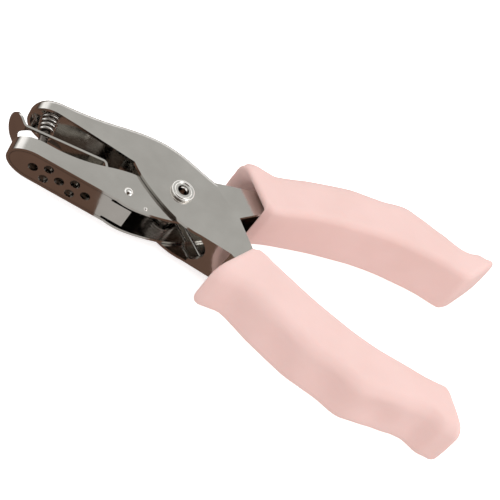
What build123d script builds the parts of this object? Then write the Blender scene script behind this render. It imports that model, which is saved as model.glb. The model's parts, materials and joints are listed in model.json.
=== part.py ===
"""Single-hole hand punch plier: two stamped channel levers on a hollow rivet, soft grips.

Frame: origin on the pivot axis at mid width, +Z along the pivot axis,
+X from the jaw tips towards the handle ends, +Y towards the upper jaw.
All lengths are millimetres.
"""
import os
from math import cos, sin, radians, pi

from build123d import *

# ---- sheet and widths ------------------------------------------------------
SHEET = 1.0                # lever sheet thickness
INNER_HALF = 6.0           # outside face of the inner lever side plates
LEVER_GAP = 0.2            # side play between the two levers
OUTER_HALF = INNER_HALF + LEVER_GAP + SHEET

# ---- noses -----------------------------------------------------------------
UPPER_TIP_X = -52.2        # front of the upper jaw
UPPER_NOSE_REACH = 8.1     # length of the upper jaw's rounded front
LOWER_TIP_X = -52.7        # front of the lower jaw
LOWER_NOSE_REACH = 8.8     # length of the lower jaw's rounded front
JAW_BEND_R = 2.0           # bend between the upper jaw's web and its side plates
LOWER_NOSE_TOP = -9.3      # top edge of the lower jaw nose
JAW_BOTTOM = -14.7         # bottom edge of the lower jaw plates

# ---- pivot -----------------------------------------------------------------
PIVOT_R = 2.5              # rivet tube outside radius
PIVOT_BORE_R = 1.5         # through bore of the tube
PIVOT_HEAD_R = 3.9         # rolled head outside radius
PIVOT_HEAD_H = 1.4         # rolled head height
PIVOT_PLAY = 0.05          # running clearance on the radius
SLEEVE_R = 3.4             # spacer sleeve outside radius

# ---- return spring ---------------------------------------------------------
COIL_R = 4.4               # mean coil radius
COIL_WIRE_R = 0.45
COIL_PITCH = 1.15
COIL_TURNS = 6

# ---- punch -----------------------------------------------------------------
PIN_R = 1.5                # punch radius
PIN_FOOT = (-44.45, -5.3)  # centre of the cutting end, open position
PIN_LEAN = 6.0             # degrees the punch leans towards the nose
PIN_SHANK_R = 1.1          # riveted end of the punch
PIN_HEAD_R = 1.9
WEB_SEAT = 12.3            # underside of the web, measured up the punch axis
CONE_FOOT_R = 2.05         # stripper spring, radius near the cutting end
CONE_WIDENS = 5.0          # degrees, half angle of the stripper spring
CONE_WIRE_R = 0.5
CONE_START = 4.5           # foot of the stripper spring, up the punch axis
CONE_RISE = 7.2
CONE_TURNS = 4.2
DIE_CLEAR = 0.2            # die hole clearance on the radius

# ---- guide plate, die plate, chip cover ------------------------------------
GUIDE_T = 0.8
GUIDE_HALF = 4.9
GUIDE_TILT = 7.4           # degrees, rising towards the pivot
GUIDE_AT = (-44.6, -4.9)   # point on the guide plate's mid surface
WINDOW_LONG = 14.4
WINDOW_WIDE = 8.4
TAB_ROOT = -7.1            # start of the turned-up tab, along the plate
TAB_REACH = 7.4            # straight reach of the tab
TAB_RISE = 50.0            # degrees
GUIDE_CREST = 19.8         # the plate turns down here, along the plate
GUIDE_RIVET_X = -19.4
GUIDE_RIVET_Z = 2.6
GUIDE_RIVET_R = 0.8
GUIDE_RIVET_HEAD_R = 1.25
GUIDE_RIVET_HEAD_H = 0.5
DIE_T = 1.0
COVER_T = 0.8
COVER_HALF = 4.85
COVER_LIP = 2.0            # height of the cover's side lips
COVER_REAR = -11.4
COVER_NECK_X = -18.4       # the floor is narrower from here to the rear
COVER_NECK_HALF = 4.0
EAR_R = 2.4                # hinge ears of the cover
VENT_R = 1.6
VENT_X0 = -43.7            # first vent from the nose
VENT_PITCH = 4.5
VENT_Z = 2.45              # paired vents sit this far off centre
COVER_HINGE = (-14.9, -9.6)
HINGE_PIN_R = 1.2
HINGE_DOME_R = 1.75
CLOSE_TURN = 7.5           # hinge travel at which the punch stands in the die

# ---- grips -----------------------------------------------------------------
UPPER_GRIP_ANGLE = 18.7    # degrees of the upper grip line above +X
LOWER_GRIP_ANGLE = 13.5    # degrees of the lower grip line below +X
GRIP_HALF = 10.4           # half thickness along Z
GRIP_FIT = 0.05            # play of the handle channel in its grip
HANDLE_END = 68.0          # handle metal stops here, along the grip line
UPPER_MOUTH_D = 9.0        # outer edge of the upper handle at the grip's mouth
LOWER_MOUTH_D = 7.1        # outer edge of the lower handle at the grip's mouth
MOUTH_S = 23.5             # the grip's mouth, along the grip line

REAR_X = 130.0             # behind every part of the tool


def grip_point(s, d, side):
    """Point at s along the grip line and d outwards of it; side +1 upper, -1 lower."""
    a = radians(UPPER_GRIP_ANGLE if side > 0 else LOWER_GRIP_ANGLE)
    return (s * cos(a) - d * sin(a), side * (s * sin(a) + d * cos(a)))


def face_of(*runs):
    """Face bounded by runs of points: two points make a line, more make a smooth curve."""
    edges = []
    for run in runs:
        if len(run) == 2:
            edges.append(Line(run[0], run[1]))
        else:
            edges.append(Spline(*run))
    return make_face(Curve() + edges)


def slab(face, half):
    """Extrude a face on the XY plane to both sides."""
    return extrude(face, amount=half, both=True)


def nose_prism(tip_x, reach, half, low, high):
    """Upright prism on the XZ plane: straight to the rear, half an ellipse at the front."""
    centre_x = tip_x + reach
    middle_y = (low + high) / 2
    length = REAR_X - centre_x
    body = Pos(centre_x + length / 2, middle_y, 0) * Box(length, high - low, 2 * half)
    front = extrude(Ellipse(reach, half), amount=(high - low) / 2, both=True)
    return body + Pos(centre_x, middle_y, 0) * Rot(90, 0, 0) * front


def upper_nose(half):
    """Room under the outline of the upper jaw, half wide, with its rounded front."""
    inset = OUTER_HALF - half
    return nose_prism(UPPER_TIP_X + inset, UPPER_NOSE_REACH - inset, half, -60, 60)


def lower_nose(half, low=-60, high=60):
    """Room under the outline of the lower jaw, half wide, with its rounded front."""
    inset = INNER_HALF - half
    return nose_prism(LOWER_TIP_X + inset, LOWER_NOSE_REACH - inset, half, low, high)


def z_hole(x, y, r, length=40.0):
    """Cutter along Z."""
    return Pos(x, y, 0) * Cylinder(r, length)


def handle_bar(side, inset=0.0):
    """Corner points of the handle metal inside its grip."""
    near = [grip_point(34.4, 4.2 - inset, side), grip_point(HANDLE_END + inset, 7.0 - inset, side)]
    mouth_d = UPPER_MOUTH_D if side > 0 else LOWER_MOUTH_D
    far = [grip_point(HANDLE_END + inset, 13.2 + inset, side), grip_point(MOUTH_S, mouth_d + inset, side)]
    return near, far


# ---- outer lever: upper jaw and lower handle --------------------------------
low_near, low_far = handle_bar(-1)

nose_low = (-53.4, 3.6)
nose_top = (-53.4, 6.3)
crown = (-46.5, 8.3)
brow = (-26.0, 12.4)
shoulder = (8.8, 11.5)
waist = (20.5, 1.7)
throat = (-17.2, 1.3)
chops = (-38.0, 2.9)
belly = (10.6, -11.8)

jaw_top = [brow, (-18.5, 14.5), (-11.0, 15.5), (-3.5, 14.8), (3.8, 12.8), shoulder]
rear_edge = [shoulder, (12.0, 7.4), (16.4, 5.0), waist]
cheek_edge = [throat, (-12.9, -2.6), (-7.1, -6.4), (-0.8, -9.6), (4.3, -11.3), belly]
outer_face = face_of(
    [nose_low, nose_top],
    [nose_top, (-50.4, 8.0), crown],
    [crown, (-37.0, 9.6), brow],
    jaw_top,
    rear_edge,
    [waist, low_near[0]],
    low_near,
    [low_near[1], low_far[0]],
    low_far,
    [low_far[1], belly],
    cheek_edge[::-1],
    [throat, chops],
    [chops, nose_low],
)

WEB_END_X = 1.5            # the upper jaw's web stops here
outer_room = face_of(
    [(-54.0, -30.0), (-54.0, 4.3)],
    [(-54.0, 4.3), (-50.0, 6.5), (-46.3, 7.1)],
    [(-46.3, 7.1), (-36.9, 8.5), (-25.7, 11.4)],
    [(-25.7, 11.4), (-18.2, 13.5), (-11.0, 14.5), (-3.8, 13.6), (WEB_END_X, 12.0)],
    [(WEB_END_X, 12.0), (WEB_END_X, 30.0)],
    [(WEB_END_X, 30.0), (90.0, 30.0)],
    [(90.0, 30.0), grip_point(90.0, 12.2, -1)],
    [grip_point(90.0, 12.2, -1), grip_point(HANDLE_END, 12.2, -1)],
    [grip_point(HANDLE_END, 12.2, -1), grip_point(MOUTH_S, LOWER_MOUTH_D - SHEET, -1)],
    [grip_point(MOUTH_S, LOWER_MOUTH_D - SHEET, -1), (11.6, -10.7)],
    [(11.6, -10.7), (11.6, -30.0)],
    [(11.6, -30.0), (-54.0, -30.0)],
)
outer_blank = slab(outer_face, OUTER_HALF) & upper_nose(OUTER_HALF)


def on_jaw_top(edge):
    """True for the long edges between the upper jaw's web and its sides."""
    middle = edge.position_at(0.5)
    along_z = abs(edge.tangent_at(0.5).Z) > 0.999 and edge.geom_type == GeomType.LINE
    return not along_z and middle.Y > 5.7 and middle.X < shoulder[0] - 0.5


outer_blank = fillet(outer_blank.edges().filter_by(on_jaw_top), JAW_BEND_R)
outer_lever = outer_blank - (slab(outer_room, OUTER_HALF - SHEET) & upper_nose(OUTER_HALF - SHEET))
# cross bar between the side plates at the throat
throat_bar = Pos(-17.8, 2.9, 0) * Box(4.0, SHEET, 2 * OUTER_HALF - SHEET)
outer_lever += throat_bar
# round front edge of the handle's web
outer_lever -= Pos(9.6, -13.0, 0) * Rot(90, 0, 0) * Cylinder(5.4, 6.0)
outer_lever -= z_hole(0, 0, PIVOT_R + PIVOT_PLAY)
# seat for the punch shank in the web
pin_lean = Rot(0, 0, PIN_LEAN)
pin_axis = Pos(PIN_FOOT[0], PIN_FOOT[1], 0) * pin_lean
outer_lever -= pin_axis * Pos(0, 10, 0) * Rot(90, 0, 0) * Cylinder(PIN_SHANK_R, 20)

# ---- inner lever: lower jaw and upper handle --------------------------------
up_near, up_far = handle_bar(1)

chin = (-54.5, JAW_BOTTOM)
heel = (-17.0, JAW_BOTTOM)
tail = (20.0, 3.5)
lip = (-40.0, -9.1)
cheek = (-12.6, -2.0)
inner_top = [lip, (-34.5, -8.4), (-28.0, -6.7), (-21.7, -4.2), (-17.2, -2.7), cheek]
inner_under = [heel, (-12.6, -15.0), (-7.3, -14.1), (-1.3, -12.2), (3.4, -10.2), (12.0, -4.0), tail]
inner_face = face_of(
    [chin, (-54.5, LOWER_NOSE_TOP)],
    [(-54.5, LOWER_NOSE_TOP), lip],
    inner_top,
    [cheek, (-8.5, 2.5), (-2.5, 7.2), (4.5, 10.0), (11.0, 12.6)],
    [(11.0, 12.6), up_far[1]],
    up_far[::-1],
    [up_far[0], up_near[1]],
    up_near[::-1],
    [up_near[0], tail],
    inner_under[::-1],
    [heel, chin],
)
inner_room = face_of(
    [(-54.5, -30.0), (-54.5, 20.0)],
    [(-54.5, 20.0), (-10.5, 20.0)],
    [(-10.5, 20.0), (-4.0, 7.6)],
    [(-4.0, 7.6), (4.8, 9.0)],
    [(4.8, 9.0), (11.4, 11.6)],
    [(11.4, 11.6), grip_point(MOUTH_S, UPPER_MOUTH_D - SHEET, 1)],
    [grip_point(MOUTH_S, UPPER_MOUTH_D - SHEET, 1), grip_point(90.0, 14.2, 1)],
    [grip_point(90.0, 14.2, 1), (110.0, -30.0)],
    [(110.0, -30.0), (-54.5, -30.0)],
)
inner_lever = slab(inner_face, INNER_HALF) & lower_nose(INNER_HALF)
inner_lever -= slab(inner_room, INNER_HALF - SHEET) & lower_nose(INNER_HALF - SHEET)
# the web over the pivot starts behind the throat
inner_lever -= Pos(-10.0, 14.0, 0) * Box(17.0, 16.0, 2 * (INNER_HALF - SHEET))
inner_lever -= z_hole(0, 0, PIVOT_R + PIVOT_PLAY)
inner_lever -= z_hole(COVER_HINGE[0], COVER_HINGE[1], HINGE_PIN_R)
# small pressed dimple on each side plate
for side in (-1, 1):
    bump = Pos(-8.1, -12.6, side * (INNER_HALF - 0.15)) * Sphere(0.75)
    inner_lever += bump & Pos(-8.1, -12.6, side * INNER_HALF) * Box(3, 3, 1.6)

# ---- pivot: hollow rivet and spacer sleeve ----------------------------------
head_mid = PIVOT_HEAD_R - PIVOT_HEAD_H / 2
pivot_rivet = Cylinder(PIVOT_R, 2 * OUTER_HALF)
for side in (-1, 1):
    ring = Pos(0, 0, side * (OUTER_HALF + PIVOT_HEAD_H / 2))
    pivot_rivet += ring * Torus(head_mid, PIVOT_HEAD_H / 2)
    pivot_rivet += ring * Cylinder(head_mid, PIVOT_HEAD_H * 0.5)
    pivot_rivet += Pos(0, 0, side * (OUTER_HALF + 0.4)) * Cylinder(PIVOT_HEAD_R - 0.15, 0.8)
pivot_rivet -= Cylinder(PIVOT_BORE_R, 60)
for side in (-1, 1):
    flare = Pos(0, 0, side * (OUTER_HALF + PIVOT_HEAD_H))
    pivot_rivet -= flare * Sphere(1.9)

sleeve_half = INNER_HALF - SHEET - 0.05
pivot_sleeve = Cylinder(SLEEVE_R, 2 * sleeve_half) - Cylinder(PIVOT_R + PIVOT_PLAY, 20)

# ---- return spring round the sleeve -----------------------------------------
coil_len = COIL_PITCH * COIL_TURNS
coil = Pos(0, 0, -coil_len / 2) * Helix(COIL_PITCH, coil_len, COIL_R)
coil_start = coil @ 0
coil_end = coil @ 1
leg_low = Line(coil_start, Vector(15.5, -10.4, coil_start.Z))
leg_high = Line(coil_end, Vector(14.2, 11.65, coil_end.Z))
wire_at = Plane(origin=coil_start, z_dir=coil % 0)
return_spring = sweep(wire_at * Circle(COIL_WIRE_R), path=coil)
for leg in (leg_low, leg_high):
    end_plane = Plane(origin=leg @ 0, z_dir=leg % 0)
    return_spring += sweep(end_plane * Circle(COIL_WIRE_R), path=leg)
    return_spring += Pos(*(leg @ 0)) * Sphere(COIL_WIRE_R)

# ---- punch pin and its conical stripper spring ------------------------------
pin_blank = Pos(0, WEB_SEAT / 2, 0) * Rot(90, 0, 0) * Cylinder(PIN_R, WEB_SEAT)
shank = Pos(0, WEB_SEAT + 1.2, 0) * Rot(90, 0, 0) * Cylinder(PIN_SHANK_R, 2.4)
pin_head = Pos(0, WEB_SEAT + 2.0, 0) * Rot(90, 0, 0) * Cylinder(PIN_HEAD_R, 0.7)
cup = Pos(0, -1.6, 0) * Sphere(1.9)
punch_pin = pin_axis * (pin_blank + shank + pin_head - cup)

cone_path = Helix(CONE_RISE / CONE_TURNS, CONE_RISE, CONE_FOOT_R, cone_angle=CONE_WIDENS)
cone_wire = Plane(origin=cone_path @ 0, z_dir=cone_path % 0)
cone = sweep(cone_wire * Circle(CONE_WIRE_R), path=cone_path)
punch_spring = pin_axis * Pos(0, CONE_START, 0) * Rot(-90, 0, 0) * cone

# ---- guide plate -------------------------------------------------------------
tilt = radians(GUIDE_TILT)


def guide_point(along, up):
    """Point in the guide plate's own frame, before extrusion along Z."""
    x = GUIDE_AT[0] + along * cos(tilt) - up * sin(tilt)
    y = GUIDE_AT[1] + along * sin(tilt) + up * cos(tilt)
    return (x, y)


tab_turn = radians(TAB_RISE + GUIDE_TILT)
tab_tip = (TAB_ROOT - TAB_REACH * cos(tab_turn), TAB_REACH * sin(tab_turn))
foot_y = LOWER_NOSE_TOP + GUIDE_T / 2
spine = Polyline(
    guide_point(*tab_tip),
    guide_point(TAB_ROOT, 0),
    guide_point(GUIDE_CREST, 0),
    (-21.6, foot_y),
    (-17.9, foot_y),
)
spine = fillet(spine.vertices()[1:-1], 1.4)
guide_strip = slab(make_face(offset(spine, GUIDE_T / 2, side=Side.BOTH)), GUIDE_HALF)
tab_round = Plane(
    origin=(*guide_point(*tab_tip), 0),
    x_dir=(cos(pi - radians(TAB_RISE)), sin(pi - radians(TAB_RISE)), 0),
    z_dir=(sin(radians(TAB_RISE)), cos(radians(TAB_RISE)), 0),
)
tab_cut = Pos(-GUIDE_HALF / 2 + 0.6, 0) * Rectangle(GUIDE_HALF + 1.2, 4 * GUIDE_HALF)
tab_keep = Pos(-GUIDE_HALF, 0) * Circle(GUIDE_HALF)
guide_strip -= tab_round * extrude(tab_cut - tab_keep, amount=3, both=True)
guide_frame = Pos(GUIDE_AT[0] - 0.6, GUIDE_AT[1], 0) * Rot(0, 0, GUIDE_TILT) * Rot(90, 0, 0)
window = SlotOverall(WINDOW_LONG, WINDOW_WIDE)
guide_plate = guide_strip - guide_frame * extrude(window, amount=2, both=True)

# ---- die plate with the die hole ----------------------------------------------
die_low = LOWER_NOSE_TOP - DIE_T
die_half = INNER_HALF - SHEET
die_block = lower_nose(die_half, die_low, LOWER_NOSE_TOP)
die_plate = die_block & Pos(-36.3, die_low, 0) * Box(36.4, 8, 40)
turn = radians(CLOSE_TURN)
die_x = PIN_FOOT[0] * cos(turn) - PIN_FOOT[1] * sin(turn)
die_y = PIN_FOOT[0] * sin(turn) + PIN_FOOT[1] * cos(turn)
die_axis = Pos(die_x, die_y, 0) * Rot(0, 0, PIN_LEAN + CLOSE_TURN)
die_plate -= die_axis * Rot(90, 0, 0) * Cylinder(PIN_R + DIE_CLEAR, 12)

upright = Rot(90, 0, 0)
rivet_shaft = upright * Cylinder(GUIDE_RIVET_R, 2.4)
rivet_head = upright * Cylinder(GUIDE_RIVET_HEAD_R, GUIDE_RIVET_HEAD_H)
top_head_y = LOWER_NOSE_TOP + GUIDE_T + GUIDE_RIVET_HEAD_H / 2
low_head_y = die_low - GUIDE_RIVET_HEAD_H / 2
rivets = []
for z in (-GUIDE_RIVET_Z, GUIDE_RIVET_Z):
    hole = Pos(GUIDE_RIVET_X, LOWER_NOSE_TOP, z) * upright * Cylinder(GUIDE_RIVET_R, 6)
    guide_plate -= hole
    die_plate -= hole
    shaft = Pos(GUIDE_RIVET_X, LOWER_NOSE_TOP - 0.1, z) * rivet_shaft
    heads = Pos(GUIDE_RIVET_X, top_head_y, z) * rivet_head + Pos(GUIDE_RIVET_X, low_head_y, z) * rivet_head
    rivets.append(shaft + heads)
guide_rivets = rivets[0] + rivets[1]

# ---- chip cover ------------------------------------------------------------------
cover_top = JAW_BOTTOM + COVER_T
cover_front = LOWER_TIP_X - 5.0
cover_box = Pos((cover_front + COVER_REAR) / 2, 0, 0) * Box(COVER_REAR - cover_front, 60, 40)
tray = lower_nose(COVER_HALF, JAW_BOTTOM, cover_top + COVER_LIP)
tray -= lower_nose(COVER_HALF - COVER_T, cover_top, cover_top + 9)
chip_cover = tray & cover_box
# the rear of the floor is narrower, the side lips stop in front of the ears
notch_long = COVER_REAR - COVER_NECK_X + 2
notch_wide = 4.8
for side in (-1, 1):
    notch_at = Pos(COVER_NECK_X + notch_long / 2, 0, side * (COVER_NECK_HALF + notch_wide / 2))
    chip_cover -= notch_at * Box(notch_long, 60, notch_wide)
    ear = Circle(EAR_R) + Pos(0, -EAR_R) * Rectangle(2 * EAR_R, 2 * EAR_R)
    ear_at = Pos(COVER_HINGE[0], COVER_HINGE[1], side * (COVER_NECK_HALF - COVER_T / 2))
    chip_cover += ear_at * extrude(ear, amount=COVER_T / 2, both=True)
chip_cover -= z_hole(COVER_HINGE[0], COVER_HINGE[1], HINGE_PIN_R + PIVOT_PLAY)
# vent places: steps back from the first vent, and offset across
vents = [(0, 0), (1, VENT_Z), (1, -VENT_Z), (2, 0), (3, VENT_Z), (3, -VENT_Z), (4, 0)]
for step, z in vents:
    drill = Pos(VENT_X0 + step * VENT_PITCH, JAW_BOTTOM, z)
    chip_cover -= drill * Rot(90, 0, 0) * Cylinder(VENT_R, 4)

cover_rivet = z_hole(COVER_HINGE[0], COVER_HINGE[1], HINGE_PIN_R, 2 * INNER_HALF)
for side in (-1, 1):
    dome = Pos(COVER_HINGE[0], COVER_HINGE[1], side * (INNER_HALF - 0.9)) * Sphere(HINGE_DOME_R)
    trim = Pos(COVER_HINGE[0], COVER_HINGE[1], side * (INNER_HALF + 1.0)) * Box(6, 6, 2.0)
    cover_rivet += dome & trim


# ---- grips -------------------------------------------------------------------------
def grip(side):
    """Moulded grip: flared collar, four finger hollows outside, smooth inside, slanted tail."""
    front_out = (22.2, 18.0)
    front_in = (28.0, 0.7)
    tip_out = (112.0, 6.2)
    tip_in = (113.6, 2.8)
    heel = (103.0, -5.2)
    outer = [front_out, (25.4, 18.4), (28.5, 17.0), (32.0, 15.4), (38.0, 16.0), (43.0, 17.0)]
    outer += [(52.0, 17.9), (60.0, 18.4), (71.0, 17.4), (79.5, 17.6), (84.5, 15.3), (91.0, 12.3)]
    outer += [(97.0, 9.6), (102.0, 6.9), (105.5, 6.1), (109.0, 6.7), tip_out]
    inner = [heel, (98.0, -3.9), (90.0, -1.5), (84.0, 0.0), (77.0, 1.5), (68.0, 2.5)]
    inner += [(58.0, 2.6), (46.0, 2.1), (36.0, 0.8), front_in]
    runs = [
        outer,
        [tip_out, (113.8, 4.9), tip_in],
        [tip_in, (109.5, -1.3), heel],
        inner,
        [front_in, front_out],
    ]
    face = face_of(*[[grip_point(s, d, side) for s, d in run] for run in runs])
    body = slab(face, GRIP_HALF)
    long_edges = body.edges().filter_by(lambda e: abs(abs(e.center().Z) - GRIP_HALF) < 1e-3)
    body = chamfer(long_edges, 1.6)
    near, far = handle_bar(side, GRIP_FIT)
    lead = [grip_point(20.0, 8.4 + GRIP_FIT, side), grip_point(20.0, -6.0, side)]
    knee = grip_point(27.0, -1.6, side)
    pocket = make_face(Polyline(near[0], near[1], far[0], far[1], lead[0], lead[1], knee, close=True))
    half = (INNER_HALF if side > 0 else OUTER_HALF) + GRIP_FIT
    return body - slab(pocket, half)


upper_grip = grip(1)
lower_grip = grip(-1)

nodes = {
    "outer_lever": outer_lever,
    "inner_lever": inner_lever,
    "pivot_rivet": pivot_rivet,
    "pivot_sleeve": pivot_sleeve,
    "return_spring": return_spring,
    "punch_pin": punch_pin,
    "punch_spring": punch_spring,
    "guide_plate": guide_plate,
    "die_plate": die_plate,
    "guide_rivets": guide_rivets,
    "chip_cover": chip_cover,
    "cover_rivet": cover_rivet,
    "upper_grip": upper_grip,
    "lower_grip": lower_grip,
}

os.makedirs("parts", exist_ok=True)
for name, shape in nodes.items():
    export_step(shape, f"parts/{name}.step")
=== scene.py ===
"""Blender scene for the hand punch plier.

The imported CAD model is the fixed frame. This script builds the two moulded grips,
gives every node its material, and adds the floor, the studio light and the camera.
Grip sizes are millimetres in the grip's own frame: s along the grip line from the
pivot, d outwards from that line, z across the tool.
"""

import json
import math

import bpy
from mathutils import Matrix, Vector


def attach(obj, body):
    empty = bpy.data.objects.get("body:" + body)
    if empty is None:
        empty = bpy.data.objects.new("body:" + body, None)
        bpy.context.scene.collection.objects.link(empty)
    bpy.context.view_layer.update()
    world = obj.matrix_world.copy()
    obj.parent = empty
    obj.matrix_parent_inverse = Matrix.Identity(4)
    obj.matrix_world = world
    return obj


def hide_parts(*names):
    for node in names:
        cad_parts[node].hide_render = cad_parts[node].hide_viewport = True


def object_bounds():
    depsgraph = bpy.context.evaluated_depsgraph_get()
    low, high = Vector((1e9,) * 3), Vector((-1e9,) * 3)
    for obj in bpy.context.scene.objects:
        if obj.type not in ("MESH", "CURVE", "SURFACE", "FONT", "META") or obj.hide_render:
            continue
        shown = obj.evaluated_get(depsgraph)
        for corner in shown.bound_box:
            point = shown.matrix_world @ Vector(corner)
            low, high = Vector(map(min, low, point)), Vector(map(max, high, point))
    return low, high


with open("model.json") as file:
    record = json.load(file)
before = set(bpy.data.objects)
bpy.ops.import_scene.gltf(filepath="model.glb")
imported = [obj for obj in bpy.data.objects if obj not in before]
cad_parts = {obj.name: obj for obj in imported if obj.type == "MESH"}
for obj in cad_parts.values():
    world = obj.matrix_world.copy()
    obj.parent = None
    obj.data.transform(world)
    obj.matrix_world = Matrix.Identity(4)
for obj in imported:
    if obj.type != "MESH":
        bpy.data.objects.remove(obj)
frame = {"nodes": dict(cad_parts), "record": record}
cad_low, cad_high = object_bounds()

MM = 0.001
QUARTER_TURN = math.pi / 2

# ---- grip shape --------------------------------------------------------------
GRIP_HALF = 10.35          # half thickness of the body along z
COLLAR_HALF = 10.4         # half thickness at the collar
COLLAR_S, COLLAR_SPREAD = 25.0, 4.5
NECK_HALF = 9.9            # half thickness just behind the collar
NECK_S, NECK_SPREAD = 33.0, 5.0

# outline of the grip seen along z: (s, d)
OUTER_LINE = [
    (20.2, 17.5), (22.0, 18.3), (24.6, 18.7), (28.0, 17.5), (32.0, 15.8), (38.0, 16.2),
    (43.0, 17.1), (48.0, 17.7), (54.0, 18.3), (60.0, 18.7), (66.0, 18.2), (72.0, 17.7),
    (78.0, 17.9), (81.0, 17.5), (84.5, 15.8), (88.0, 14.1), (91.0, 12.6), (95.5, 10.7),
    (99.0, 8.6), (102.0, 7.0), (105.5, 6.4), (109.0, 6.8), (113.0, 5.9),
]
INNER_LINE = [
    (27.8, 0.9), (30.4, 0.0), (36.0, 0.6), (42.0, 1.5), (52.0, 2.3), (60.0, 2.4),
    (68.0, 2.3), (77.0, 1.3), (84.0, -0.2), (90.0, -1.6), (98.0, -4.0), (102.6, -5.2),
]
FRONT_IN_S = 27.8          # front rim at the inner line
END_IN_S = 102.6           # tail end at the inner line

# What differs between the two grips. side is the sign of y; metal_half is half the width of
# the handle metal; mouth_d is the metal's upper edge at the mouth; front_out_s and end_out_s are
# the front rim and the tail end at the outer line; the shifts move a line outwards, over the
# palm or at the tail; end_bulge and end_convex swell the tail end across z and along d.
GRIPS = {
    "upper": {
        "side": 1, "angle": math.radians(18.7), "body": "die_lever",
        "metal_half": 6.0, "mouth_d": 9.0, "front_out_s": 19.6, "end_out_s": 114.4,
        "outer_shift": 0.9, "inner_shift": 0.1, "tail_shift": 0.4,
        "end_bulge": 0.5, "end_convex": 0.2,
    },
    "lower": {
        "side": -1, "angle": math.radians(13.5), "body": "punch_lever",
        "metal_half": 7.2, "mouth_d": 7.1, "front_out_s": 22.4, "end_out_s": 113.4,
        "outer_shift": 0.4, "inner_shift": -0.9, "tail_shift": 2.0,
        "end_bulge": 0.5, "end_convex": 1.1,
    },
}

# the palm shifts fade in behind the collar and out before the tail: (s, length of the fade)
PALM_START, PALM_FADE_IN = 27.0, 6.0
PALM_END, PALM_FADE_OUT = 98.0, 10.0
# the tail shift fades in from this s, over this length
TAIL_START, TAIL_FADE_IN = 97.0, 8.0
TAIL_PARTS = 8             # the tail end's swell takes the last 1/8 of the grip
CONVEX_PEAK = 27 / 4       # scales t * t * (1 - t) to a peak of 1
SWELL_LEAN = 0.45          # the swell leans towards the inner line by this share

OUTER_ROUND = 4.6          # corner radius along the outer line
INNER_ROUND = 2.5          # corner radius along the inner line
LEAST_ROUND = 0.4          # corner radius left on the inset rings of the tail end
END_ROUND = 2.6            # edge radius of the tail end
LIP_ROUND = 2.2            # edge radius of the front rim
LIP_WALL_SHARE = 0.4       # the rim's radius is at most this share of the wall
LIP_DEPTH = 3.0            # how far the rim curls in to the opening
LIP_DEPTH_SHARE = 0.6      # and at most this share of the wall
EDGE_STEPS = 5             # rings round each rounded edge

# finger hollows across the outer face: (s of the middle, half length, depth)
HOLLOWS = [
    (34.0, 6.0, 1.0), (52.0, 8.5, 2.1), (71.0, 8.5, 2.1), (89.0, 7.5, 1.9), (103.0, 6.0, 1.0),
]
HOLLOW_REACH = 8.6         # the hollows fade out this far from the mid plane
HOLLOW_FROM = 0.55         # share of the section's height where the hollows start
HOLLOW_POWER = 1.5         # how quickly they deepen from there

# the tail end's cap: shares of the way from its middle to its edge, and its crown at the middle
CAP_SHARES = (0.25, 0.5, 0.75)
CAP_CROWN = (0.5, -0.35, 0.0)

# opening in the front rim: inner and outer corner (s, d), play round the metal, corner radius
OPENING_INNER, OPENING_OUTER = (28.4, 1.6), (23.2, 14.4)
OPENING_PLAY = 0.55
OPENING_ROUND = 5.0

# edges (s, d) of the handle metal: its lower edge bends at the knee, its upper edge is straight
METAL_FRONT, METAL_KNEE, METAL_LOW_END = (20.06, -3.1), (34.4, 4.2), (68.0, 7.0)
METAL_MOUTH_S, METAL_HIGH_END = 23.5, (68.0, 13.2)
METAL_END = 68.0

# pocket for the metal: s of its rings, play, further play above its first ring, corner radius
POCKET_FIRST_S = 33.0
POCKET_S = (34.4, 45.0, 56.0)
POCKET_PLAY = 0.12
POCKET_FUNNEL = 0.6
POCKET_ROUND = 0.3

RING_STEP = 1.1            # spacing of the rings along the grip

# points on each side, each face and each corner of a ring, the same in every ring
SIDE_POINTS = 12
FACE_POINTS = 10
CORNER_POINTS = 7


def smooth_value(points, x):
    """Height at x of a smooth curve through (x, y) points."""
    if x <= points[0][0]:
        return points[0][1]
    if x >= points[-1][0]:
        return points[-1][1]
    i = max(k for k in range(len(points) - 1) if points[k][0] <= x)

    def slope(k):
        a, b = points[max(k - 1, 0)], points[min(k + 1, len(points) - 1)]
        return (b[1] - a[1]) / (b[0] - a[0])

    (x0, y0), (x1, y1) = points[i], points[i + 1]
    width = x1 - x0
    t = (x - x0) / width
    rise = (y0 * (1 + 2 * t) * (1 - t) ** 2 + y1 * t * t * (3 - 2 * t))
    return rise + width * (slope(i) * t * (1 - t) ** 2 - slope(i + 1) * t * t * (1 - t))


def blend_between(a, b, t):
    """Value from a at t = 0 to b at t = 1."""
    return a + (b - a) * t


def hollow_depth(s):
    """How deep the finger hollows are at s."""
    depth = 0.0
    for middle, reach, deep in HOLLOWS:
        t = abs(s - middle) / reach
        if t < 1:
            depth += deep * math.cos(t * QUARTER_TURN) ** 2
    return depth


def half_width(s):
    """Half thickness of the grip at s."""
    collar = math.exp(-(((s - COLLAR_S) / COLLAR_SPREAD) ** 2))
    neck = math.exp(-(((s - NECK_S) / NECK_SPREAD) ** 2))
    return GRIP_HALF - (GRIP_HALF - NECK_HALF) * neck + (COLLAR_HALF - GRIP_HALF) * collar


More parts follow.
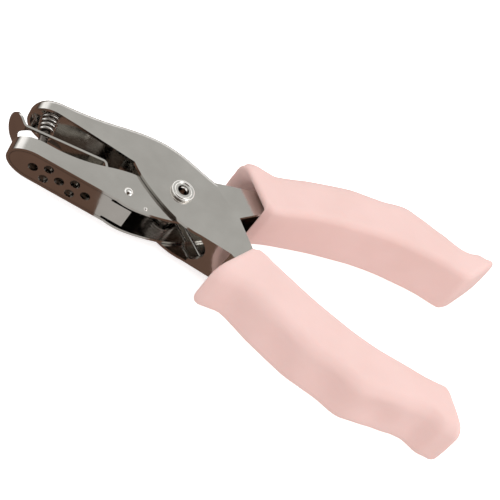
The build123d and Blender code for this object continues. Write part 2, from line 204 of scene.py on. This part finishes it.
def rounded_section(low, high, half, low_round, high_round):
    """Points (a, z) round a rounded rectangle from a=low to a=high and z=-half to half."""
    points = []

    def straight(a0, z0, a1, z1, count):
        for k in range(count):
            t = k / count
            points.append((blend_between(a0, a1, t), blend_between(z0, z1, t)))

    def corner(a, z, radius, start):
        for k in range(CORNER_POINTS):
            turn = start + QUARTER_TURN * k / CORNER_POINTS
            points.append((a + radius * math.cos(turn), z + radius * math.sin(turn)))

    straight(high, -half + high_round, high, half - high_round, FACE_POINTS)
    corner(high - high_round, half - high_round, high_round, 0.0)
    straight(high - high_round, half, low + low_round, half, SIDE_POINTS)
    corner(low + low_round, half - low_round, low_round, QUARTER_TURN)
    straight(low, half - low_round, low, -half + low_round, FACE_POINTS)
    corner(low + low_round, -half + low_round, low_round, math.pi)
    straight(low + low_round, -half, high - high_round, -half, SIDE_POINTS)
    corner(high - high_round, -half + high_round, high_round, -QUARTER_TURN)
    return points


def palm_share(s):
    """1 over the palm, fading to 0 at both ends of the grip."""
    return max(0.0, min(1.0, (s - PALM_START) / PALM_FADE_IN, (PALM_END - s) / PALM_FADE_OUT))


def tail_share(s):
    """0 over most of the grip, rising to 1 at the tail."""
    return max(0.0, min(1.0, (s - TAIL_START) / TAIL_FADE_IN))


def end_share(u):
    """0 over most of the grip, rising to 1 at the tail end, u = 1."""
    return max(0.0, TAIL_PARTS * u - (TAIL_PARTS - 1))


def skin_ring(grip, u, inset=0.0, forward=0.0):
    """Ring of (s, d, z) on the grip's skin; u runs 0 to 1 from front rim to tail end.

    inset shrinks the ring all round, and forward moves it along s.
    """
    s_in = blend_between(FRONT_IN_S, END_IN_S, u)
    s_out = blend_between(grip["front_out_s"], grip["end_out_s"], u)
    inner_d = smooth_value(INNER_LINE, s_in) + grip["inner_shift"] * palm_share(s_in)
    outer_d = smooth_value(OUTER_LINE, s_out) + grip["outer_shift"] * palm_share(s_out)
    outer_d += grip["tail_shift"] * tail_share(s_out)
    inner = Vector((s_in, inner_d))
    outer = Vector((s_out, outer_d))
    across = outer - inner
    length = across.length
    across.normalize()
    s_mid = (s_in + s_out) / 2
    half = half_width(s_mid) - inset
    depth = hollow_depth(s_out)
    high_round = max(OUTER_ROUND - inset, LEAST_ROUND)
    low_round = max(INNER_ROUND - inset, LEAST_ROUND)
    ring = []
    for a, z in rounded_section(inset, length - inset, half, low_round, high_round):
        outward = max(0.0, (a / length - HOLLOW_FROM) / (1 - HOLLOW_FROM)) ** HOLLOW_POWER
        fade = max(0.0, 1 - (z / HOLLOW_REACH) ** 2) ** 2
        a -= depth * outward * fade
        point = inner + across * a
        t = a / length
        swell = grip["end_bulge"] * max(0.0, 1 - (z / GRIP_HALF) ** 2)
        swell += grip["end_convex"] * CONVEX_PEAK * t * t * max(0.0, 1 - t)
        swell *= end_share(u) ** 2
        ring.append(Vector((point.x + forward + swell, point.y - SWELL_LEAN * swell, z)))
    return ring


def metal_edge(s, mouth_d):
    """Lower and upper edge d of the handle metal at s; mouth_d is the upper edge at the mouth."""

    def on_line(start, end):
        return start[1] + (s - start[0]) * (end[1] - start[1]) / (end[0] - start[0])

    if s < METAL_KNEE[0]:
        low = on_line(METAL_FRONT, METAL_KNEE)
    else:
        low = on_line(METAL_KNEE, METAL_LOW_END)
    return low, on_line((METAL_MOUTH_S, mouth_d), METAL_HIGH_END)


def slanted_ring(inner, outer, half, corner_round):
    """Ring between an inner and an outer point (s, d), for the opening and the pocket."""
    inner, outer = Vector(inner), Vector(outer)
    across = outer - inner
    length = across.length
    across.normalize()
    ring = []
    for a, z in rounded_section(0.0, length, half, POCKET_ROUND, corner_round):
        point = inner + across * a
        ring.append(Vector((point.x, point.y, z)))
    return ring


def tail_rings(grip):
    """Rings of the tail end's cap and of its rounded edge."""
    end = skin_ring(grip, 1.0, END_ROUND)
    centre = sum(end, Vector()) / len(end)
    crown = Vector(CAP_CROWN)
    rings = []
    for share in CAP_SHARES:
        lift = crown * (1 - share * share)
        rings.append([centre + (p - centre) * share + lift for p in end])
    for k in range(EDGE_STEPS + 1):
        turn = QUARTER_TURN * k / EDGE_STEPS
        shift = END_ROUND * (math.cos(turn) - 1)
        rings.append(skin_ring(grip, 1.0, END_ROUND * (1 - math.sin(turn)), shift))
    return rings


def front_rings(grip):
    """Rings of the front rim's rounded edge and of its curl into the opening."""
    skin = skin_ring(grip, 0.0)
    opening_half = grip["metal_half"] + OPENING_PLAY
    opening = slanted_ring(OPENING_INNER, OPENING_OUTER, opening_half, OPENING_ROUND)
    rings = []
    for k in range(EDGE_STEPS + 1):
        turn = QUARTER_TURN * k / EDGE_STEPS
        ring = []
        for p, q in zip(skin, opening):
            wall = q - p
            edge = min(LIP_ROUND, LIP_WALL_SHARE * wall.length)
            shifted = p + wall.normalized() * edge * (1 - math.cos(turn))
            ring.append(shifted + Vector((edge * (1 - math.sin(turn)), 0, 0)))
        rings.append(ring)
    rim = rings[-1]
    for k in range(1, EDGE_STEPS + 1):
        turn = QUARTER_TURN * k / EDGE_STEPS
        ring = []
        for p, q in zip(rim, opening):
            wall = q - p
            depth = min(LIP_DEPTH, LIP_DEPTH_SHARE * wall.length)
            ring.append(p + wall * math.sin(turn) + Vector((depth * (1 - math.cos(turn)), 0, 0)))
        rings.append(ring)
    return rings


def pocket_rings(grip):
    """Rings of the pocket round the handle metal."""
    half = grip["metal_half"] + POCKET_PLAY
    rings = []
    for s in (POCKET_FIRST_S, *POCKET_S, METAL_END + POCKET_PLAY):
        low, high = metal_edge(s, grip["mouth_d"])
        funnel = POCKET_FUNNEL if s == POCKET_FIRST_S else 0.0
        top = high + POCKET_PLAY + funnel
        rings.append(slanted_ring((s, low - POCKET_PLAY), (s, top), half, POCKET_ROUND))
    return rings


def grip_rings(grip):
    """All rings of the grip, from the tail's cap over the skin into the pocket."""
    rings = tail_rings(grip)
    steps = round((END_IN_S - FRONT_IN_S) / RING_STEP)
    for k in range(steps - 1, 1, -1):
        u = k / steps
        rings.append(skin_ring(grip, u, 0.0, -END_ROUND * end_share(u)))
    return rings + front_rings(grip) + pocket_rings(grip)


def build_grip(which):
    """Closed mesh through the grip's rings, riding on its lever's body."""
    grip = GRIPS[which]
    side, angle = grip["side"], grip["angle"]
    name = which + "_grip_skin"
    rings = grip_rings(grip)
    count = len(rings[0])      # points in each ring
    vertices = []
    for ring in rings:
        for s, d, z in ring:
            x = s * math.cos(angle) - d * math.sin(angle)
            y = side * (s * math.sin(angle) + d * math.cos(angle))
            vertices.append((x * MM, y * MM, z * MM))
    faces = []
    for i in range(len(rings) - 1):
        here, beyond = i * count, (i + 1) * count
        for j in range(count):
            k = (j + 1) % count
            faces.append((here + j, here + k, beyond + k, beyond + j))
    caps = [(0, range(count)), (len(rings) - 1, reversed(range(count)))]
    for i, order in caps:
        middle = len(vertices)
        points = [Vector(vertices[i * count + j]) for j in range(count)]
        vertices.append(tuple(sum(points, Vector()) / count))
        order = list(order)
        for j in range(count):
            faces.append((i * count + order[j], middle, i * count + order[(j + 1) % count]))
    if side < 0:
        faces = [tuple(reversed(face)) for face in faces]
    mesh = bpy.data.meshes.new(name)
    mesh.from_pydata(vertices, [], faces)
    mesh.validate()
    mesh.shade_smooth()
    obj = bpy.data.objects.new(name, mesh)
    bpy.context.scene.collection.objects.link(obj)
    mesh.materials.append(soft_grip())
    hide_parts(which + "_grip")
    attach(obj, grip["body"])


# ---- materials ------------------------------------------------------------------
# noise scales per metre, from broad to fine, and bump distances in metres
CLOUD_SCALE, WANDER_SCALE, PIT_SCALE, STROKE_SCALE = 90.0, 170.0, 2600.0, 5200.0
STROKE_STRETCH = (0.12, 1.0, 1.0)      # the brushing is long along x
WANDER_BUMP, FINE_BUMP = 0.0002, 0.00001
BLOTCH_SCALE, SWELL_SCALE, GRAIN_SCALE = 60.0, 240.0, 2800.0
SWELL_BUMP, GRAIN_BUMP = 0.0002, 0.00003

RUBBER_DARK, RUBBER_LIGHT = (0.86, 0.61, 0.565), (0.90, 0.65, 0.61)
RUBBER_ROUGHNESS = (0.48, 0.62)

# look of each metal slot: darker and lighter tone, roughness range, strength of the grain
METAL_LOOKS = {
    "nickel_plate": ((0.58, 0.56, 0.53), (0.66, 0.64, 0.61), 0.08, 0.17, 1.0),
    "nickel_bright": ((0.72, 0.70, 0.67), (0.82, 0.80, 0.77), 0.05, 0.12, 0.6),
    "spring_steel": ((0.36, 0.35, 0.33), (0.48, 0.46, 0.44), 0.18, 0.32, 0.8),
    "punch_steel": ((0.14, 0.12, 0.11), (0.24, 0.22, 0.20), 0.22, 0.38, 0.8),
}

# width in millimetres of the rounded edge on each stamped or turned node
EDGE_WIDTHS = {
    "outer_lever": 0.2, "inner_lever": 0.24, "guide_plate": 0.22, "die_plate": 0.15,
    "chip_cover": 0.25, "pivot_rivet": 0.12, "punch_pin": 0.15,
}
EDGE_ANGLE = math.radians(40)      # only edges sharper than this are rounded


def new_material(name):
    """A node material; returns it with its nodes, links and Principled shader."""
    material = bpy.data.materials.new(name)
    material.use_nodes = True
    nodes, links = material.node_tree.nodes, material.node_tree.links
    return material, nodes, links, nodes["Principled BSDF"]


def noise(nodes, links, where, scale, detail=4.0, roughness=0.5):
    """Noise value at the coordinates given by where."""
    node = nodes.new("ShaderNodeTexNoise")
    node.inputs["Scale"].default_value = scale
    node.inputs["Detail"].default_value = detail
    node.inputs["Roughness"].default_value = roughness
    links.new(where, node.inputs["Vector"])
    return node.outputs["Fac"]


def stretched(nodes, links, scale):
    """Object coordinates with a different scale on each axis."""
    coords = nodes.new("ShaderNodeTexCoord")
    mapping = nodes.new("ShaderNodeMapping")
    mapping.inputs["Scale"].default_value = scale
    links.new(coords.outputs["Object"], mapping.inputs["Vector"])
    return mapping.outputs["Vector"]


def spread(nodes, links, value, low, high, from_low=0.3, from_high=0.7):
    """Map a 0..1 value onto low..high."""
    node = nodes.new("ShaderNodeMapRange")
    node.inputs["From Min"].default_value = from_low
    node.inputs["From Max"].default_value = from_high
    node.inputs["To Min"].default_value = low
    node.inputs["To Max"].default_value = high
    links.new(value, node.inputs["Value"])
    return node.outputs["Result"]


def two_tone(nodes, links, value, dark, light):
    """Colour between dark and light, mixed by a 0..1 value."""
    node = nodes.new("ShaderNodeMix")
    node.data_type = "RGBA"
    node.inputs["A"].default_value = (*dark, 1)
    node.inputs["B"].default_value = (*light, 1)
    links.new(value, node.inputs["Factor"])
    return node.outputs["Result"]


def bumps(nodes, links, shader, heights):
    """Stack (height value, strength, distance) bumps on the shader's normal."""
    normal = None
    for height, strength, distance in heights:
        node = nodes.new("ShaderNodeBump")
        node.inputs["Strength"].default_value = strength
        node.inputs["Distance"].default_value = distance
        links.new(height, node.inputs["Height"])
        if normal is not None:
            links.new(normal, node.inputs["Normal"])
        normal = node.outputs["Normal"]
    links.new(normal, shader.inputs["Normal"])


def metal(name, dark, light, rough_low, rough_high, grain):
    """Plated or drawn metal: faint brushing along x, soft cloudy tone, fine pits."""
    material, nodes, links, shader = new_material(name)
    shader.inputs["Metallic"].default_value = 1.0
    even = stretched(nodes, links, (1, 1, 1))
    brushed = stretched(nodes, links, STROKE_STRETCH)
    clouds = noise(nodes, links, even, CLOUD_SCALE, 3.0)
    strokes = noise(nodes, links, brushed, STROKE_SCALE, 5.0, 0.6)
    pits = noise(nodes, links, even, PIT_SCALE, 2.0)
    wander = noise(nodes, links, even, WANDER_SCALE, 2.0)
    tone = two_tone(nodes, links, spread(nodes, links, clouds, 0.0, 1.0), dark, light)
    links.new(tone, shader.inputs["Base Color"])
    links.new(spread(nodes, links, strokes, rough_low, rough_high), shader.inputs["Roughness"])
    bumps(nodes, links, shader, [
        (wander, 0.25 * grain, WANDER_BUMP),
        (strokes, 0.25 * grain, FINE_BUMP),
        (pits, 0.15 * grain, FINE_BUMP),
    ])
    return material


def soft_grip():
    """Soft matte rubber: fine grain, faint blotches, a little sheen."""
    material, nodes, links, shader = new_material("soft_grip_rubber")
    even = stretched(nodes, links, (1, 1, 1))
    blotches = noise(nodes, links, even, BLOTCH_SCALE, 3.0)
    grain = noise(nodes, links, even, GRAIN_SCALE, 3.0, 0.6)
    swell = noise(nodes, links, even, SWELL_SCALE, 2.0)
    mottle = spread(nodes, links, blotches, 0.0, 1.0)
    tone = two_tone(nodes, links, mottle, RUBBER_DARK, RUBBER_LIGHT)
    links.new(tone, shader.inputs["Base Color"])
    links.new(spread(nodes, links, grain, *RUBBER_ROUGHNESS), shader.inputs["Roughness"])
    shader.inputs["Specular IOR Level"].default_value = 0.35
    shader.inputs["Sheen Weight"].default_value = 0.15
    shader.inputs["Sheen Roughness"].default_value = 0.5
    shader.inputs["Subsurface Weight"].default_value = 0.12
    shader.inputs["Subsurface Radius"].default_value = (0.9, 0.45, 0.35)
    shader.inputs["Subsurface Scale"].default_value = 0.0015
    bumps(nodes, links, shader, [(swell, 0.2, SWELL_BUMP), (grain, 0.35, GRAIN_BUMP)])
    return material


def paint_metal_nodes():
    """Give each CAD metal node the material of its slot."""
    looks = {slot: metal(slot + "_look", *look) for slot, look in METAL_LOOKS.items()}
    for part in frame["record"]["subparts"]:
        look = looks.get(part["material_slot"])
        if look is None:
            continue
        obj = frame["nodes"][part["node"]]
        obj.data.materials.clear()
        obj.data.materials.append(look)


def soften_edges():
    """Small rounded edges on the metal, as stamping and turning leave them."""
    for name, width in EDGE_WIDTHS.items():
        modifier = frame["nodes"][name].modifiers.new("stamped_edge", "BEVEL")
        modifier.width = width * MM
        modifier.segments = 2
        modifier.limit_method = "ANGLE"
        modifier.angle_limit = EDGE_ANGLE
        modifier.use_clamp_overlap = True
        modifier.harden_normals = True


# ---- stage ----------------------------------------------------------------------------
FLOOR_HALF = 3.0           # metres
FLOOR_DROP = 0.0001        # metres between the tool and the floor
FLOOR_DARK, FLOOR_LIGHT = (0.90, 0.90, 0.90), (0.93, 0.93, 0.93)

# Pale card in front of the jaws, in metres: y of its near and far side, and the x ends of each.
CARD_NEAR, CARD_FAR = -0.0155, -0.060
CARD_NEAR_X, CARD_FAR_X = (-0.0195, 0.004), (-0.0215, 0.004)
CARD_DARK, CARD_LIGHT = (0.50, 0.48, 0.46), (0.58, 0.56, 0.54)

# What shiny metal sees, by height from straight down (0) to straight up (1): warm dark below,
# a bright band just above the horizon, grey higher up and a small bright patch overhead.
MIRROR_SKY = [
    (0.0, (0.15, 0.09, 0.065)),
    (0.36, (0.17, 0.10, 0.075)),
    (0.44, (0.06, 0.04, 0.03)),
    (0.50, (0.55, 0.53, 0.50)),
    (0.58, (1.5, 1.5, 1.5)),
    (0.70, (1.3, 1.3, 1.3)),
    (0.76, (0.60, 0.60, 0.58)),
    (0.95, (0.56, 0.56, 0.54)),
    (0.985, (1.3, 1.3, 1.3)),
]
# The dark side of the room: its direction, and how the mirror sky darkens towards it.
DARK_SIDE = (-0.03, -0.68, 0.73)
DARK_SIDE_SHADE = [
    (0.80, (1.0, 1.0, 1.0)),
    (0.91, (0.16, 0.12, 0.10)),
    (1.0, (0.10, 0.07, 0.055)),
]
# The soft light that everything else receives, by height.
SOFT_SKY = [
    (0.0, (0.96, 0.86, 0.84)),
    (0.45, (0.98, 0.90, 0.88)),
    (1.0, (1.0, 1.0, 1.0)),
]
SOFT_STRENGTH = 0.95

# area lights: name, place and aim in millimetres, size in millimetres, power in watts
SOFTBOXES = [
    ("key", (260, 40, 420), (30, 0, 0), 240, 0.31),
    ("tail", (420, -220, 120), (100, -20, 0), 160, 0.16),
]

# camera: lengths in millimetres, angles about the point it looks at
CAMERA_TARGET = (28.27, 0.0, -0.4)
CAMERA_AZIMUTH = math.radians(-14.22)
CAMERA_ELEVATION = math.radians(45.86)
CAMERA_ROLL = math.radians(39.84)
CAMERA_DISTANCE = 599.4
CAMERA_LENS = 138.1
CAMERA_SENSOR = 36.0
CAMERA_CLIP = (0.01, 20.0)     # metres


def flat_sheet(name, corners):
    """Single flat face through four corners."""
    mesh = bpy.data.meshes.new(name)
    mesh.from_pydata(corners, [], [(0, 1, 2, 3)])
    sheet = bpy.data.objects.new(name, mesh)
    bpy.context.scene.collection.objects.link(sheet)
    return sheet


def white_floor():
    """Pale floor under the tool, lit to an even white."""
    half, low = FLOOR_HALF, cad_low.z - FLOOR_DROP
    corners = [(-half, -half, low), (half, -half, low), (half, half, low), (-half, half, low)]
    floor = flat_sheet("floor", corners)
    material, nodes, links, shader = new_material("pale_floor")
    even = stretched(nodes, links, (1, 1, 1))
    tone = two_tone(nodes, links, noise(nodes, links, even, 40.0), FLOOR_DARK, FLOOR_LIGHT)
    links.new(tone, shader.inputs["Base Color"])
    shader.inputs["Roughness"].default_value = 0.9
    shader.inputs["Emission Color"].default_value = (1, 1, 1, 1)
    shader.inputs["Emission Strength"].default_value = 0.7
    floor.data.materials.append(material)
    floor.visible_glossy = False
    floor.visible_diffuse = False


def colour_ramp(nodes, links, value, stops):
    """Colour ramp driven by a 0..1 value; stops are (position, colour)."""
    node = nodes.new("ShaderNodeValToRGB")
    links.new(value, node.inputs["Fac"])
    ramp = node.color_ramp
    while len(ramp.elements) < len(stops):
        ramp.elements.new(0.5)
    for element, (position, colour) in zip(ramp.elements, stops):
        element.position = position
        element.color = (*colour, 1)
    return node.outputs["Color"]


def studio_world():
    """World with one sky for shiny metal to mirror and a softer one for all other light."""
    world = bpy.data.worlds.new("studio")
    bpy.context.scene.world = world
    world.use_nodes = True
    nodes, links = world.node_tree.nodes, world.node_tree.links
    nodes.clear()
    coords = nodes.new("ShaderNodeTexCoord")
    axes = nodes.new("ShaderNodeSeparateXYZ")
    links.new(coords.outputs["Generated"], axes.inputs["Vector"])
    height = spread(nodes, links, axes.outputs["Z"], 0.0, 1.0, -1.0, 1.0)
    mirror = nodes.new("ShaderNodeBackground")
    towards = nodes.new("ShaderNodeVectorMath")
    towards.operation = "DOT_PRODUCT"
    towards.inputs[1].default_value = DARK_SIDE
    links.new(coords.outputs["Generated"], towards.inputs[0])
    shade = colour_ramp(nodes, links, towards.outputs["Value"], DARK_SIDE_SHADE)
    darken = nodes.new("ShaderNodeMix")
    darken.data_type = "RGBA"
    darken.blend_type = "MULTIPLY"
    darken.inputs["Factor"].default_value = 1.0
    sky = colour_ramp(nodes, links, height, MIRROR_SKY)
    links.new(sky, darken.inputs["A"])
    links.new(shade, darken.inputs["B"])
    links.new(darken.outputs["Result"], mirror.inputs["Color"])
    soft = nodes.new("ShaderNodeBackground")
    links.new(colour_ramp(nodes, links, height, SOFT_SKY), soft.inputs["Color"])
    soft.inputs["Strength"].default_value = SOFT_STRENGTH
    path = nodes.new("ShaderNodeLightPath")
    pick = nodes.new("ShaderNodeMixShader")
    links.new(path.outputs["Is Glossy Ray"], pick.inputs["Fac"])
    links.new(soft.outputs["Background"], pick.inputs[1])
    links.new(mirror.outputs["Background"], pick.inputs[2])
    output = nodes.new("ShaderNodeOutputWorld")
    links.new(pick.outputs["Shader"], output.inputs["Surface"])


def pale_card():
    """Pale card lying in front of the jaws, seen only as a reflection in the metal."""
    low = cad_low.z
    card = flat_sheet("pale_card", [
        (CARD_FAR_X[0], CARD_FAR, low), (CARD_FAR_X[1], CARD_FAR, low),
        (CARD_NEAR_X[1], CARD_NEAR, low), (CARD_NEAR_X[0], CARD_NEAR, low),
    ])
    material, nodes, links, shader = new_material("pale_card")
    even = stretched(nodes, links, (1, 1, 1))
    tone = two_tone(nodes, links, noise(nodes, links, even, 60.0), CARD_DARK, CARD_LIGHT)
    links.new(tone, shader.inputs["Emission Color"])
    shader.inputs["Base Color"].default_value = (0, 0, 0, 1)
    shader.inputs["Specular IOR Level"].default_value = 0.0
    shader.inputs["Emission Strength"].default_value = 1.0
    card.data.materials.append(material)
    card.visible_camera = False
    card.visible_diffuse = False
    card.visible_shadow = False


def softbox(name, place, aim, size, power):
    """Square area light at place, aimed at a point, both in millimetres."""
    light = bpy.data.lights.new(name, "AREA")
    light.size = size * MM
    light.energy = power
    obj = bpy.data.objects.new(name, light)
    obj.location = Vector(place) * MM
    obj.rotation_mode = "QUATERNION"
    obj.rotation_quaternion = (Vector(aim) - Vector(place)).to_track_quat("-Z", "Y")
    bpy.context.scene.collection.objects.link(obj)


def place_camera():
    """Perspective camera turned about its own axis, so that the tool lies corner to corner."""
    camera = bpy.data.cameras.new("camera")
    camera.lens = CAMERA_LENS
    camera.sensor_width = CAMERA_SENSOR
    camera.clip_start, camera.clip_end = CAMERA_CLIP
    obj = bpy.data.objects.new("camera", camera)
    back = Vector((
        math.cos(CAMERA_ELEVATION) * math.sin(CAMERA_AZIMUTH),
        -math.cos(CAMERA_ELEVATION) * math.cos(CAMERA_AZIMUTH),
        math.sin(CAMERA_ELEVATION),
    ))
    level_right = Vector((0, 0, 1)).cross(back).normalized()
    level_up = back.cross(level_right)
    right = level_right * math.cos(CAMERA_ROLL) + level_up * math.sin(CAMERA_ROLL)
    up = back.cross(right)
    place = (Vector(CAMERA_TARGET) + back * CAMERA_DISTANCE) * MM
    obj.matrix_world = Matrix((right, up, back)).transposed().to_4x4()
    obj.location = place
    bpy.context.scene.collection.objects.link(obj)
    bpy.context.scene.camera = obj


build_grip("upper")
build_grip("lower")
paint_metal_nodes()
soften_edges()
white_floor()
studio_world()
pale_card()
for box in SOFTBOXES:
    softbox(*box)
place_camera()
bpy.context.scene.view_settings.view_transform = "Standard"
